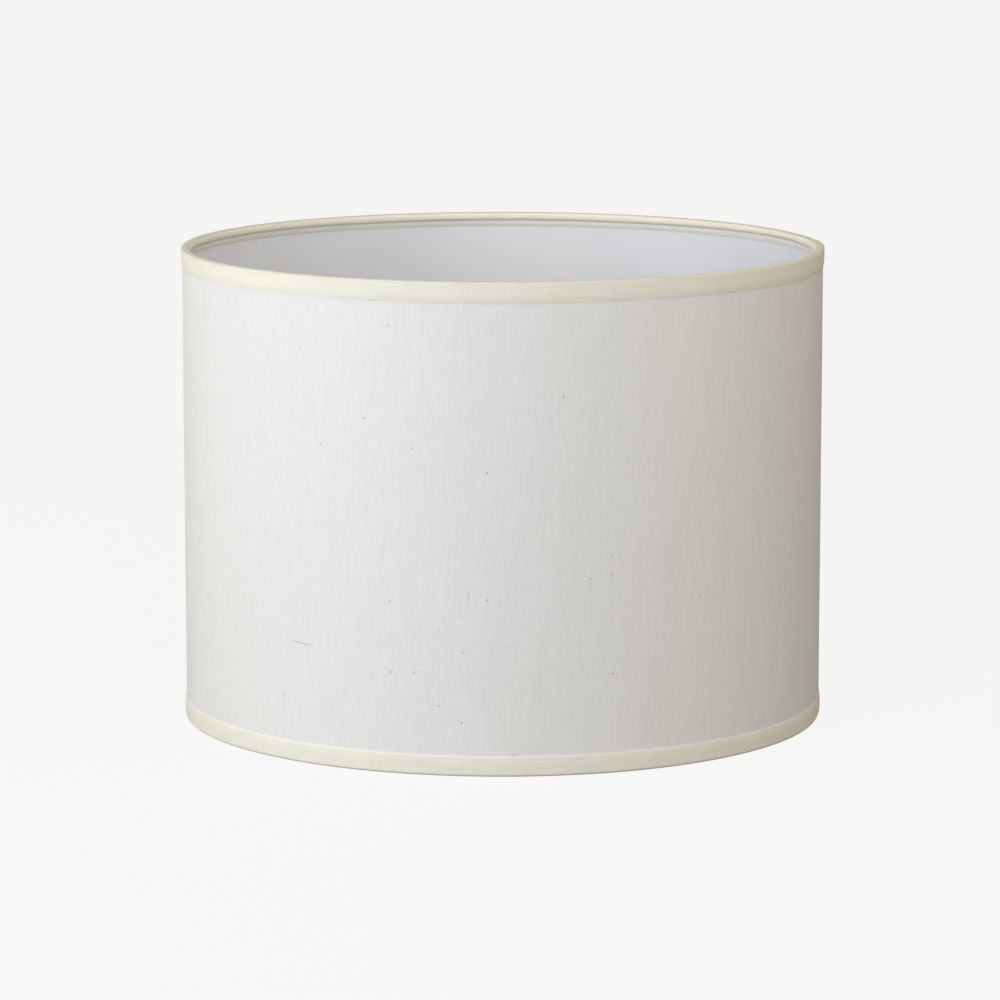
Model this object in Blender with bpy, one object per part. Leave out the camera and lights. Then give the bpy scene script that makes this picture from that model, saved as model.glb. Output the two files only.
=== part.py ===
"""Drum lamp shade with a spider fitter.

A laminated panel, cotton bonded to a PVC liner, is rolled into a drum and lapped at one side
seam. A wire ring stiffens each rim, and a folded tape binds the panel to each ring. Three bent
arms carry a fitter ring from the bottom ring, and a loose reducer ring drops into its hole.

Metres, +Z up. The shade's axis is Z and it stands on its bottom rim at z = 0.
"""

import math

import bmesh
import bpy
from mathutils import Vector

MM = 0.001

# Driving dimensions of the drum.
OUTER_RADIUS = 200 * MM
HEIGHT = 295 * MM
GAP = 0.25 * MM

# Thicknesses of the sheet goods.
TAPE_THICKNESS = 0.5 * MM
FABRIC_THICKNESS = 0.4 * MM
LINER_THICKNESS = 0.4 * MM
SEAM_TAPE_THICKNESS = 0.2 * MM

# Rim binding, measured from the rim's edge.
TAPE_OUTER_BAND = 12.5 * MM
TAPE_INNER_BAND = 9.5 * MM
TAPE_FOLD_RADIUS = 1.0 * MM
TAPE_TUCK_ANGLE = math.radians(235)
TAPE_TAIL_START = 6.0 * MM
TAPE_TAIL_BEND = 0.4 * MM
PANEL_INSET = 1.0 * MM

# Side seam: where it is round the drum, how wide it laps, and the ramp up to it.
SEAM_ANGLE = math.radians(4)
LAP_ANGLE = math.radians(3.4)
RAMP_ANGLE = math.radians(12)
RAMP_END = math.radians(0.4)
TAPE_HOLD_ANGLE = math.radians(3.8)
TAPE_FALL_ANGLE = math.radians(5.4)
SEAM_TAPE_GAP = 0.15 * MM
SEAM_TAPE_MARGIN = math.radians(0.15)
STATION_STEP = math.radians(6)

# Wire frame.
WIRE_RADIUS = 1.5 * MM
WIRE_SIDES = 8
SHARP_ANGLE = math.radians(35)
ARM_COUNT = 3
FIRST_ARM_ANGLE = math.radians(90)
ARM_GAP = 0.3 * MM
ARM_BEND_RADIUS = 12 * MM
ARM_FLAT_END = 172 * MM
ARM_RISE_END = 58 * MM
ARM_INNER_END = 30.5 * MM
NOTCH_CLEARANCE = 0.3 * MM
NOTCH_FLOOR_CLEARANCE = 0.2 * MM
NOTCH_TOP = 15 * MM

# Fitter ring, and the reducer ring that drops into it.
FITTER_TOP = 30 * MM
FITTER_THICKNESS = 1.5 * MM
FITTER_HOLE_RADIUS = 21 * MM
FITTER_OUTER_RADIUS = 35 * MM
FITTER_LIP_DEPTH = 5 * MM
RECESS_RADIUS = 27.6 * MM
RECESS_DEPTH = 0.4 * MM
REDUCER_FLANGE_RADIUS = 27 * MM
REDUCER_HOLE_RADIUS = 14.5 * MM
REDUCER_THICKNESS = 1.6 * MM
REDUCER_DEPTH = 3 * MM
REDUCER_CLEARANCE = 0.4 * MM
RING_SEGMENTS = 48

# Radii worked out from the ones above, outside to inside.
TAPE_RADIUS = OUTER_RADIUS - TAPE_THICKNESS / 2
FABRIC_OUTER = OUTER_RADIUS - TAPE_THICKNESS - GAP
FABRIC_INNER = FABRIC_OUTER - FABRIC_THICKNESS
LINER_OUTER = FABRIC_INNER - GAP
LINER_INNER = LINER_OUTER - LINER_THICKNESS
WIRE_RING_RADIUS = LINER_INNER - GAP - WIRE_RADIUS
TAIL_RADIUS = LINER_INNER - GAP - TAPE_THICKNESS / 2
WIRE_DEPTH = TAPE_THICKNESS + GAP + WIRE_RADIUS
TUCK_RADIUS = WIRE_RADIUS + GAP + TAPE_THICKNESS / 2
LAP_STEP = FABRIC_OUTER - LINER_INNER + SEAM_TAPE_THICKNESS + 2 * SEAM_TAPE_GAP


def material(name, colour, roughness, metallic=0.0):
    """One Principled material."""
    made = bpy.data.materials.new(name)
    made.use_nodes = True
    shader = made.node_tree.nodes["Principled BSDF"]
    shader.inputs["Base Color"].default_value = (*colour, 1.0)
    shader.inputs["Roughness"].default_value = roughness
    shader.inputs["Metallic"].default_value = metallic
    return made


def place(name, data, finish):
    """Puts a mesh or a curve in the scene as one named part."""
    obj = bpy.data.objects.new(name, data)
    data.materials.append(finish)
    bpy.context.scene.collection.objects.link(obj)
    return obj


def swept(name, sections, closed, finish):
    """One solid through equal outlines, one after another. An open run gets a face at each end."""
    mesh = bmesh.new()
    loops = [[mesh.verts.new(point) for point in section] for section in sections]
    pairs = list(zip(loops, loops[1:]))
    if closed:
        pairs.append((loops[-1], loops[0]))
    else:
        mesh.faces.new(loops[0])
        mesh.faces.new(loops[-1])
    count = len(loops[0])
    for near, far in pairs:
        for i in range(count):
            j = (i + 1) % count
            mesh.faces.new((near[i], near[j], far[j], far[i]))
    bmesh.ops.recalc_face_normals(mesh, faces=mesh.faces)
    data = bpy.data.meshes.new(name)
    mesh.to_mesh(data)
    mesh.free()
    data.shade_smooth()
    data.set_sharp_from_angle(angle=SHARP_ANGLE)
    return place(name, data, finish)


def on_ring(radius, height, angle):
    return Vector((radius * math.cos(angle), radius * math.sin(angle), height))


def turned(name, outline, angles, finish):
    """A closed ring: the outline of (radius, height) points at each angle."""
    sections = [[on_ring(r, z, angle) for r, z in outline] for angle in angles]
    return swept(name, sections, True, finish)


def full_circle(segments):
    return [2 * math.pi * i / segments for i in range(segments)]


def arc(centre, radius, start, end, steps):
    """Points of (radius, height) round a centre, from one angle to another."""
    turn = (end - start) / steps
    angles = [start + turn * i for i in range(steps + 1)]
    return [
        (centre[0] + radius * math.cos(a), centre[1] + radius * math.sin(a)) for a in angles
    ]


def thickened(path, thickness):
    """The closed outline of a strip of even thickness that follows an open path."""
    left, right = [], []
    for i, point in enumerate(path):
        before = Vector(path[max(i - 1, 0)])
        after = Vector(path[min(i + 1, len(path) - 1)])
        here = Vector(point)
        first = (here - before).normalized() if i else (after - here).normalized()
        second = (after - here).normalized() if i < len(path) - 1 else first
        mean = (first + second).normalized()
        side = Vector((-mean.y, mean.x)) * (thickness / 2 / max(mean.dot(first), 0.5))
        left.append(tuple(here + side))
        right.append(tuple(here - side))
    return left + right[::-1]


def filleted(points, radius, steps):
    """A path with each inner corner rounded to one radius."""
    path = [points[0]]
    for before, corner, after in zip(points, points[1:], points[2:]):
        here = Vector(corner)
        back = (Vector(before) - here).normalized()
        ahead = (Vector(after) - here).normalized()
        half = back.angle(ahead) / 2
        reach = radius / math.tan(half)
        centre = here + (back + ahead).normalized() * (radius / math.sin(half))
        start = here + back * reach - centre
        end = here + ahead * reach - centre
        for i in range(steps + 1):
            spoke = start.lerp(end, i / steps).normalized() * radius
            path.append(tuple(centre + spoke))
    path.append(points[-1])
    return path


def stations():
    """Angles from the seam's start, once round: even, but closer together at the seam."""
    ramp_start = 2 * math.pi - RAMP_ANGLE
    last = int(ramp_start / STATION_STEP)
    round_drum = [STATION_STEP * i for i in range(2, last + 1)]
    ramp = [ramp_start + RAMP_ANGLE * share for share in (0.25, 0.5, 0.75)]
    seam = [0.0, LAP_ANGLE, TAPE_HOLD_ANGLE, TAPE_FALL_ANGLE]
    return seam + round_drum + ramp + [2 * math.pi - RAMP_END]


def smooth_step(share):
    share = min(max(share, 0.0), 1.0)
    return share * share * (3 - 2 * share)


def panel_rise(turn):
    """How far the panel's end has climbed on to its own start, by the angle from that start."""
    climb = turn - (2 * math.pi - RAMP_ANGLE)
    return LAP_STEP * smooth_step(climb / (RAMP_ANGLE - RAMP_END))


def tape_rise(turn):
    """The same for the rim tape, which comes down again just past the lap."""
    fall = (turn - TAPE_HOLD_ANGLE) / (TAPE_FALL_ANGLE - TAPE_HOLD_ANGLE)
    return max(LAP_STEP * (1 - smooth_step(fall)), panel_rise(turn))


def rolled_sheet(name, inner, outer, finish):
    """One layer of the panel: once round from the seam, then up on to its own start."""
    low, high = PANEL_INSET, HEIGHT - PANEL_INSET
    sections = []
    for turn in stations() + [2 * math.pi, 2 * math.pi + LAP_ANGLE]:
        rise = panel_rise(turn)
        outline = ((inner, low), (outer, low), (outer, high), (inner, high))
        sections.append([on_ring(r + rise, z, SEAM_ANGLE + turn) for r, z in outline])
    return swept(name, sections, False, finish)


def seam_tape(finish):
    """The double-sided strip that holds the panel's lapped ends together."""
    inner = FABRIC_OUTER + SEAM_TAPE_GAP
    outer = inner + SEAM_TAPE_THICKNESS
    low, high = 2 * PANEL_INSET, HEIGHT - 2 * PANEL_INSET
    outline = ((inner, low), (outer, low), (outer, high), (inner, high))
    turns = (SEAM_TAPE_MARGIN, LAP_ANGLE - SEAM_TAPE_MARGIN)
    sections = [[on_ring(r, z, SEAM_ANGLE + turn) for r, z in outline] for turn in turns]
    return swept("seam_tape", sections, False, finish)


def tape_path():
    """The rim tape's middle line as (radius, depth from the rim): up the outside, over the
    rim, round the wire, and out to a flat tail on the liner."""
    fold_centre = (TAPE_RADIUS - TAPE_FOLD_RADIUS, TAPE_THICKNESS / 2 + TAPE_FOLD_RADIUS)
    fold = arc(fold_centre, TAPE_FOLD_RADIUS, 0, -math.pi / 2, 2)
    wire = (WIRE_RING_RADIUS, WIRE_DEPTH)
    tuck = arc(wire, TUCK_RADIUS, -math.pi / 2, -TAPE_TUCK_ANGLE, 4)
    last_r, last_depth = tuck[-1]
    slope = math.tan(TAPE_TUCK_ANGLE - math.pi)
    meet = last_depth + (TAIL_RADIUS - last_r) / slope
    tail = [
        (TAIL_RADIUS - TAPE_TAIL_BEND, meet - TAPE_TAIL_BEND),
        (TAIL_RADIUS, TAPE_TAIL_START),
        (TAIL_RADIUS, TAPE_INNER_BAND),
    ]
    return [(TAPE_RADIUS, TAPE_OUTER_BAND)] + fold + tuck + tail


def rim_tape(name, height_at, finish):
    """A binding tape. height_at turns the depth from the rim into a height. Only what lies
    outside the panel climbs over the lap."""
    outline = thickened(tape_path(), TAPE_THICKNESS)
    sections = []
    for turn in stations():
        section = []
        for radius, depth in outline:
            rise = tape_rise(turn) if radius > LINER_INNER else 0.0
            section.append(on_ring(radius + rise, height_at(depth), SEAM_ANGLE + turn))
        sections.append(section)
    return swept(name, sections, True, finish)


def wire_ring(name, height, finish):
    """A rim wire, bent to a circle and butt-welded."""
    outline = arc((WIRE_RING_RADIUS, height), WIRE_RADIUS, 0, 2 * math.pi, WIRE_SIDES)[:-1]
    return turned(name, outline, [SEAM_ANGLE + turn for turn in stations()], finish)


def arm_angles():
    return [FIRST_ARM_ANGLE + 2 * math.pi * i / ARM_COUNT for i in range(ARM_COUNT)]


def spider_arm(name, angle, finish):
    """A bent arm: level from the bottom ring, a slope up, and level on to the fitter ring."""
    outer_end = WIRE_RING_RADIUS - WIRE_RADIUS - ARM_GAP
    inner_height = FITTER_TOP + ARM_GAP + WIRE_RADIUS
    corners = [
        (outer_end, WIRE_DEPTH),
        (ARM_FLAT_END, WIRE_DEPTH),
        (ARM_RISE_END, inner_height),
        (ARM_INNER_END, inner_height),
    ]
    path = filleted(corners, ARM_BEND_RADIUS, 4)
    curve = bpy.data.curves.new(name, "CURVE")
    curve.dimensions = "3D"
    curve.bevel_depth = WIRE_RADIUS
    curve.bevel_resolution = 2
    curve.use_fill_caps = True
    spline = curve.splines.new("POLY")
    spline.points.add(len(path) - 1)
    for point, (radius, height) in zip(spline.points, path):
        point.co = (*on_ring(radius, height, angle), 1.0)
    return place(name, curve, finish)


def notch_cutter(angle):
    """A guide block for the nick that lets an arm through the bottom tape."""
    width = 2 * (WIRE_RADIUS + NOTCH_CLEARANCE)
    low = WIRE_DEPTH - WIRE_RADIUS - NOTCH_FLOOR_CLEARANCE
    inner = WIRE_RING_RADIUS - 2 * TUCK_RADIUS
    outer = TAIL_RADIUS + TAPE_THICKNESS
    mesh = bmesh.new()
    bmesh.ops.create_cube(mesh, size=1.0)
    bmesh.ops.scale(mesh, verts=mesh.verts, vec=(outer - inner, width, NOTCH_TOP - low))
    data = bpy.data.meshes.new("notch_cutter")
    mesh.to_mesh(data)
    mesh.free()
    cutter = bpy.data.objects.new("notch_cutter", data)
    cutter.location = on_ring((inner + outer) / 2, (low + NOTCH_TOP) / 2, angle)
    cutter.rotation_euler.z = angle
    cutter.hide_render = True
    cutter.display_type = "WIRE"
    bpy.context.scene.collection.objects.link(cutter)
    return cutter


def notch(tape):
    """Nicks a tape at each arm, as its turned-in edge is snipped to pass the arms."""
    for angle in arm_angles():
        cut = tape.modifiers.new("nick", "BOOLEAN")
        cut.operation = "DIFFERENCE"
        cut.solver = "EXACT"
        cut.object = notch_cutter(angle)


def fitter_ring(finish):
    """A pressed washer with its outer edge turned down, and a shallow recess for the reducer's
    flange round its hole."""
    low = FITTER_TOP - FITTER_THICKNESS
    lip_inner = FITTER_OUTER_RADIUS - FITTER_THICKNESS
    lip_low = FITTER_TOP - FITTER_LIP_DEPTH
    corner = arc((lip_inner, low), FITTER_THICKNESS, 0, math.pi / 2, 3)
    outline = [
        (FITTER_HOLE_RADIUS, low),
        (lip_inner, low),
        (lip_inner, lip_low),
        (FITTER_OUTER_RADIUS, lip_low),
        *corner,
        (RECESS_RADIUS, FITTER_TOP),
        (RECESS_RADIUS, FITTER_TOP - RECESS_DEPTH),
        (FITTER_HOLE_RADIUS, FITTER_TOP - RECESS_DEPTH),
    ]
    return turned("fitter_ring", outline, full_circle(RING_SEGMENTS), finish)


def reducer_ring(finish):
    """A moulded ring: a flange in the fitter ring's recess, a spigot in its hole, and a web with
    the smaller hole. Its origin is on the axis that it lifts out along."""
    spigot = FITTER_HOLE_RADIUS - REDUCER_CLEARANCE
    seat = FITTER_TOP - RECESS_DEPTH + ARM_GAP
    top = seat + REDUCER_THICKNESS
    low = seat - REDUCER_DEPTH
    web_top = low + REDUCER_THICKNESS
    well = spigot - REDUCER_THICKNESS
    outline = [
        (REDUCER_HOLE_RADIUS, low),
        (spigot, low),
        (spigot, seat),
        (REDUCER_FLANGE_RADIUS, seat),
        (REDUCER_FLANGE_RADIUS, top),
        (well, top),
        (well, web_top),
        (REDUCER_HOLE_RADIUS, web_top),
    ]
    return turned("reducer_ring", outline, full_circle(RING_SEGMENTS), finish)


def build():
    for old in list(bpy.data.objects):
        bpy.data.objects.remove(old)
    cotton = material("cotton_cover", (0.79, 0.78, 0.76), 0.9)
    tape = material("cream_tape", (0.80, 0.76, 0.66), 0.9)
    pvc = material("white_pvc", (0.84, 0.84, 0.85), 0.45)
    adhesive = material("clear_adhesive", (0.75, 0.73, 0.66), 0.3)
    coated = material("white_coated_steel", (0.82, 0.82, 0.80), 0.35)
    plastic = material("white_plastic", (0.85, 0.85, 0.83), 0.4)

    rolled_sheet("cover_fabric", FABRIC_INNER, FABRIC_OUTER, cotton)
    rolled_sheet("liner", LINER_INNER, LINER_OUTER, pvc)
    seam_tape(adhesive)
    wire_ring("top_ring", HEIGHT - WIRE_DEPTH, coated)
    wire_ring("bottom_ring", WIRE_DEPTH, coated)
    rim_tape("top_trim", lambda depth: HEIGHT - depth, tape)
    bottom_trim = rim_tape("bottom_trim", lambda depth: depth, tape)
    notch(bottom_trim)
    for number, angle in enumerate(arm_angles(), 1):
        spider_arm(f"spider_arm_{number}", angle, coated)
    fitter_ring(coated)
    reducer_ring(plastic)


build()
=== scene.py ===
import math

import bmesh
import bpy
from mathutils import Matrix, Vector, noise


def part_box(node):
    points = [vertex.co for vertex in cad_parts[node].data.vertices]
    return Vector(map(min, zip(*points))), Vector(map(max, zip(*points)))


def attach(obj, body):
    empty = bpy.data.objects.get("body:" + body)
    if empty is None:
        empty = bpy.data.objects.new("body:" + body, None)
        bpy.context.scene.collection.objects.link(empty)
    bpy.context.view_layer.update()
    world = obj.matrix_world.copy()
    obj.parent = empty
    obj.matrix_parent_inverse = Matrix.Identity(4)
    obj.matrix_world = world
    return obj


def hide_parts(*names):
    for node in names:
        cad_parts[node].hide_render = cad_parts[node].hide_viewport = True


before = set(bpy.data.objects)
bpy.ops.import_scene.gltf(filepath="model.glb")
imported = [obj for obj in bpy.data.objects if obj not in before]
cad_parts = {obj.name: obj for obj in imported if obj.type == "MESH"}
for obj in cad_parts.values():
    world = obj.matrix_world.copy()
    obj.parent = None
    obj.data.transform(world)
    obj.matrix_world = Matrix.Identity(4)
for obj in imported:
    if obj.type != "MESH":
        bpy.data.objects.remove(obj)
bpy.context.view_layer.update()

# Looks for a drum lamp shade: a cotton cover laminated to a white liner and lapped at one side
# seam, a cream tape folded over a wire ring at each rim, and a spider fitter in the base with a
# loose reducer ring. Metres, +Z up, the shade's axis on Z and its bottom rim at z = 0.

MM = 0.001
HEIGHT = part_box("top_trim")[1].z
CLOTH_MAP = "Cloth"

# The drum's layers, outside to inside. The seam lifts them at +X only, so -Y gives the radius.
OUTER_RADIUS = 200 * MM
LAYER_GAP = 0.25 * MM
TAPE_THICKNESS = 0.5 * MM
FABRIC_THICKNESS = 0.4 * MM
LINER_THICKNESS = 0.4 * MM
PANEL_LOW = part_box("cover_fabric")[0].z
PANEL_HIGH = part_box("cover_fabric")[1].z
TAPE_RADIUS = OUTER_RADIUS - TAPE_THICKNESS / 2
FABRIC_OUTER = OUTER_RADIUS - TAPE_THICKNESS - LAYER_GAP
FABRIC_RADIUS = FABRIC_OUTER - FABRIC_THICKNESS / 2
LINER_OUTER = FABRIC_OUTER - FABRIC_THICKNESS - LAYER_GAP
LINER_RADIUS = LINER_OUTER - LINER_THICKNESS / 2
LINER_INNER = LINER_OUTER - LINER_THICKNESS

# The side seam.
SEAM_ANGLE = math.radians(4)
LAP_ANGLE = math.radians(3.4)
RAMP_ANGLE = math.radians(12)
RAMP_END = math.radians(0.4)
TAPE_HOLD_ANGLE = math.radians(3.8)
TAPE_FALL_ANGLE = math.radians(5.4)
LAP_STEP = FABRIC_OUTER - LINER_INNER + 0.5 * MM
HEM_RADIUS = 0.55 * MM
HEM_DROP = 0.7 * MM

# Angles from each end of a panel or a tape, where its outlines stand close together.
END_TURNS = (0.0006, 0.0015)

# The wire frame.
WIRE_RADIUS = 1.5 * MM
WIRE_RING_RADIUS = LINER_INNER - LAYER_GAP - WIRE_RADIUS
WIRE_DEPTH = TAPE_THICKNESS + LAYER_GAP + WIRE_RADIUS
ARM_ANGLES = [math.radians(a) for a in (90, 210, 330)]
ARM_GAP = 0.3 * MM
ARM_BEND_RADIUS = 12 * MM
ARM_FLAT_END = 172 * MM
ARM_RISE_END = 58 * MM
ARM_INNER_END = 30.5 * MM
NICK_HALF_WIDTH = 1.8 * MM
NICK_MARGIN = 0.003
FITTER_LOW, FITTER_HIGH = (corner.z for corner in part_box("fitter_ring"))
FITTER_OUTER = 35 * MM
REDUCER_LOW, REDUCER_HIGH = (corner.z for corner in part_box("reducer_ring"))

# The rim tapes, measured along the tape from its outer edge.
TAPE_OUTER_BAND = 12.5 * MM
TAPE_INNER_BAND = 9.5 * MM
TAPE_FOLD_RADIUS = 1.0 * MM
TUCK_RADIUS = WIRE_RADIUS + LAYER_GAP + TAPE_THICKNESS / 2
TUCK_ANGLE = math.radians(236)
TUCK_DROP = 0.5 * MM
TAIL_STAND = 1.2 * MM
TAIL_RADIUS = LINER_INNER - LAYER_GAP - TAPE_THICKNESS / 2
TAPE_LAP = 9 * MM
TAPE_LAP_RAMP = 14 * MM
TAPE_LAP_START = SEAM_ANGLE + math.radians(7.5)


# Curves and surfaces.

def smooth_step(share):
    share = min(max(share, 0.0), 1.0)
    return share * share * (3 - 2 * share)


def bell(distance, width):
    return math.exp(-((distance / width) ** 2))


def steps(start, end, size):
    """Even values from start to end, both included, about one size apart."""
    count = max(1, round(abs(end - start) / size))
    return [start + (end - start) * i / count for i in range(count + 1)]


def near_ends(end):
    return [*END_TURNS, *(end - turn for turn in END_TURNS)]


def arc(centre, radius, start, end, count):
    turn = (end - start) / count
    angles = [start + turn * i for i in range(count + 1)]
    return [(centre[0] + radius * math.cos(a), centre[1] + radius * math.sin(a)) for a in angles]


def on_ring(radius, height, angle):
    return Vector((radius * math.cos(angle), radius * math.sin(angle), height))


def lengths(points):
    """How far along a line each of its points is."""
    total, found = 0.0, [0.0]
    for a, b in zip(points, points[1:]):
        total += (Vector(b) - Vector(a)).length
        found.append(total)
    return found


def sideways(path):
    """The unit normal, to the left, at each point of a path in a plane."""
    found = []
    for i in range(len(path)):
        before = Vector(path[max(i - 1, 0)])
        after = Vector(path[min(i + 1, len(path) - 1)])
        ahead = (after - before).normalized()
        found.append(Vector((-ahead.y, ahead.x)))
    return found


def rounded(corners, count=6):
    """A closed outline of (radius, height) points. Each corner has its own rounding radius."""
    outline = []
    for i, (r, z, radius) in enumerate(corners):
        here = Vector((r, z))
        back = Vector(corners[i - 1][:2]) - here
        ahead = Vector(corners[(i + 1) % len(corners)][:2]) - here
        reach = min(radius, 0.45 * back.length, 0.45 * ahead.length)
        start, end = here + back.normalized() * reach, here + ahead.normalized() * reach
        for k in range(count + 1):
            share = k / count
            outline.append(tuple(start.lerp(here, share).lerp(here.lerp(end, share), share)))
    return outline


def ripple(place, size, seed):
    """Smooth noise from about -1 to 1, with bumps of about one size."""
    return noise.noise(Vector(place) / size + Vector((seed, 1.7 * seed, -seed)))


def mesh_piece(name, points, faces, uvs, sharp=50):
    """A smooth mesh piece with its cloth map in metres."""
    data = bpy.data.meshes.new(name)
    data.from_pydata([tuple(p) for p in points], [], faces)
    layer = data.uv_layers.new(name=CLOTH_MAP)
    layer.data.foreach_set("uv", [value for uv in uvs for value in uv])
    mesh = bmesh.new()
    mesh.from_mesh(data)
    bmesh.ops.recalc_face_normals(mesh, faces=mesh.faces)
    mesh.to_mesh(data)
    mesh.free()
    data.shade_smooth()
    data.set_sharp_from_angle(angle=math.radians(sharp))
    piece = bpy.data.objects.new(name, data)
    bpy.context.scene.collection.objects.link(piece)
    return piece


def lofted(name, loops, along, around, closed=False, nicks=(), nick_from=0, sharp=50):
    """A solid through equal closed outlines. along has a length for each outline, and around one
    for each of its points, for the map. Each nick is a (first, last) pair of outlines, between
    which the solid is cut away from point nick_from of the outline to its mirror point."""
    count = len(loops[0])
    points = [point for loop in loops for point in loop]
    faces, uvs = [], []

    def face(corners):
        faces.append([(i % len(loops)) * count + k % count for i, k in corners])
        uvs.extend((along[i], around[k]) for i, k in corners)

    mirror = count - 1 - nick_from
    for i in range(len(loops) if closed else len(loops) - 1):
        nicked = any(first <= i < last for first, last in nicks)
        for k in range(count):
            if not (nicked and nick_from <= k < mirror):
                face([(i, k), (i, k + 1), (i + 1, k + 1), (i + 1, k)])
        if nicked:
            face([(i, nick_from), (i, mirror), (i + 1, mirror), (i + 1, nick_from)])
    for first, last in nicks:
        face([(first, k) for k in range(nick_from, mirror + 1)])
        face([(last, k) for k in range(mirror, nick_from - 1, -1)])
    if not closed:
        face([(0, k) for k in range(count - 1, -1, -1)])
        face([(len(loops) - 1, k) for k in range(count)])
    return mesh_piece(name, points, faces, uvs, sharp)


def turned(name, outline, count, sharp=40):
    """A closed ring from an outline of (radius, height) points."""
    angles = [2 * math.pi * i / count for i in range(count)]
    loops = [[on_ring(r, z, a) for r, z in outline] for a in angles]
    middle = sum(r for r, _ in outline) / len(outline)
    along = [2 * math.pi * middle * i / count for i in range(count + 1)]
    return lofted(name, loops, along, lengths(outline + outline[:1]), closed=True, sharp=sharp)


# The laminated panel.

def panel_rise(turn):
    """How far the panel's end has climbed on to its own start, by the angle from that start."""
    climb = turn - (2 * math.pi - RAMP_ANGLE)
    return LAP_STEP * smooth_step(climb / (RAMP_ANGLE - RAMP_END))


def panel_ripple(point):
    """The slight unevenness of a hand-rolled panel: nothing under the tapes, up to 0.15 mm
    between them, and one soft crease that slants across the front left."""
    inside = min(point.z, HEIGHT - point.z) - 1.2 * TAPE_OUTER_BAND
    free = smooth_step(inside / (25 * MM))
    broad = ripple(point, 75 * MM, 3.1) + 0.5 * ripple(point, 34 * MM, 8.4)
    angle = math.atan2(point.x, -point.y)
    slant = math.radians(-42.5) + (point.z - 220 * MM) * math.radians(18) / (97 * MM)
    across = OUTER_RADIUS * (angle - slant)
    reach = 1 - smooth_step((abs(point.z - 222 * MM) - 34 * MM) / (22 * MM))
    crease = -0.07 * bell(across, 1.6 * MM) + 0.05 * bell(across - 3 * MM, 2.5 * MM)
    return free * (0.11 * broad + 0.8 * crease * reach) * MM


def panel_plan(radius, hem):
    """The panel's line seen from above: once round, up on to its own start, and with a hem, round
    the liner's cut end."""
    end = 2 * math.pi + LAP_ANGLE
    turns = steps(0.0, end, 2.6 * MM / OUTER_RADIUS)
    turns = sorted(turns + near_ends(end))
    line = []
    for turn in turns:
        place = on_ring(radius + panel_rise(turn), 0, SEAM_ANGLE + turn)
        line.append((place.x, place.y))
    if hem:
        out = Vector((math.cos(SEAM_ANGLE + end), math.sin(SEAM_ANGLE + end)))
        ahead = Vector((-out.y, out.x))
        last = Vector(line[-1])
        centre = last - out * HEM_RADIUS
        for k in range(1, 7):
            bend = math.pi / 2 * k / 6
            point = centre + HEM_RADIUS * (out * math.cos(bend) + ahead * math.sin(bend))
            line.append(tuple(point))
        line.append(tuple(Vector(line[-1]) - out * HEM_DROP))
    return line


def rolled_panel(name, radius, thickness, row, hem):
    """One layer of the panel, as a thin closed strip with rounded ends."""
    line = panel_plan(radius, hem)
    along = lengths(line)
    normals = [-n for n in sideways(line)]
    rows = steps(PANEL_LOW, PANEL_HIGH, row)
    loops = []
    for place, out, run in zip(line, normals, along):
        to_end = min(run, along[-1] - run)
        share = 0.3 + 0.7 * min(1.0, to_end / (0.4 * thickness)) ** 0.5
        half = thickness / 2 * share
        outer, inner = [], []
        for z in rows:
            middle = Vector((place[0], place[1], z))
            push = panel_ripple(middle)
            outer.append(middle + Vector((out.x, out.y, 0)) * (push + half))
            inner.append(middle + Vector((out.x, out.y, 0)) * (push - half))
        loops.append(outer + inner[::-1])
    around = [z - PANEL_LOW for z in rows] + [z - PANEL_LOW for z in rows[::-1]] + [0.0]
    return lofted(name, loops, along, around, sharp=60)


# The rim tapes.

def tape_rise(turn):
    """How far the tape stands out over the panel's lap, by the angle from the seam."""
    fall = (turn - TAPE_HOLD_ANGLE) / (TAPE_FALL_ANGLE - TAPE_HOLD_ANGLE)
    return max(LAP_STEP * (1 - smooth_step(fall)), panel_rise(turn))


def tape_path():
    """The tape's middle line as (radius, depth from the rim): up the outside, over the rim, round
    the wire, a little slack below it, and down a tail that leans out on to the liner."""
    edge = [0.0, 0.12, 0.3, 0.55, 0.8, 1.05, 1.3, 1.6, 1.9, 2.2, 2.6]
    outer = [TAPE_OUTER_BAND - e * MM for e in edge]
    fold_centre = (TAPE_RADIUS - TAPE_FOLD_RADIUS, TAPE_THICKNESS / 2 + TAPE_FOLD_RADIUS)
    outer += steps(outer[-1], fold_centre[1], 1.1 * MM)[1:-1]
    fold = arc(fold_centre, TAPE_FOLD_RADIUS, 0, -math.pi / 2, 7)
    wire = (WIRE_RING_RADIUS, WIRE_DEPTH)
    slack = (WIRE_RING_RADIUS, WIRE_DEPTH + TUCK_DROP)
    tuck = arc(wire, TUCK_RADIUS, -math.pi / 2, -math.pi, 9)
    tuck += arc(slack, TUCK_RADIUS, -math.pi, -TUCK_ANGLE, 9)
    last_r, last_depth = tuck[-1]
    top_r = TAIL_RADIUS - TAIL_STAND
    meet = last_depth + (top_r - last_r) / math.tan(TUCK_ANGLE - math.pi)
    knee = [(top_r - 0.30 * MM, meet - 0.20 * MM), (top_r - 0.04 * MM, meet + 0.06 * MM)]
    depths = steps(meet + 0.5 * MM, TAPE_INNER_BAND - 0.4 * MM, 0.4 * MM)
    depths += [TAPE_INNER_BAND - 0.2 * MM, TAPE_INNER_BAND]
    tail = []
    for depth in depths:
        lean = (TAPE_INNER_BAND - depth) / (TAPE_INNER_BAND - meet)
        tail.append((TAIL_RADIUS - TAIL_STAND * lean, depth))
    return [(TAPE_RADIUS, depth) for depth in outer] + fold + tuck + knee + tail


TAPE_PATH = tape_path()
TAPE_RUN = lengths(TAPE_PATH)
TAPE_LENGTH = TAPE_RUN[-1]
RIM_RUN = TAPE_OUTER_BAND + 1.5 * MM


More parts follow.
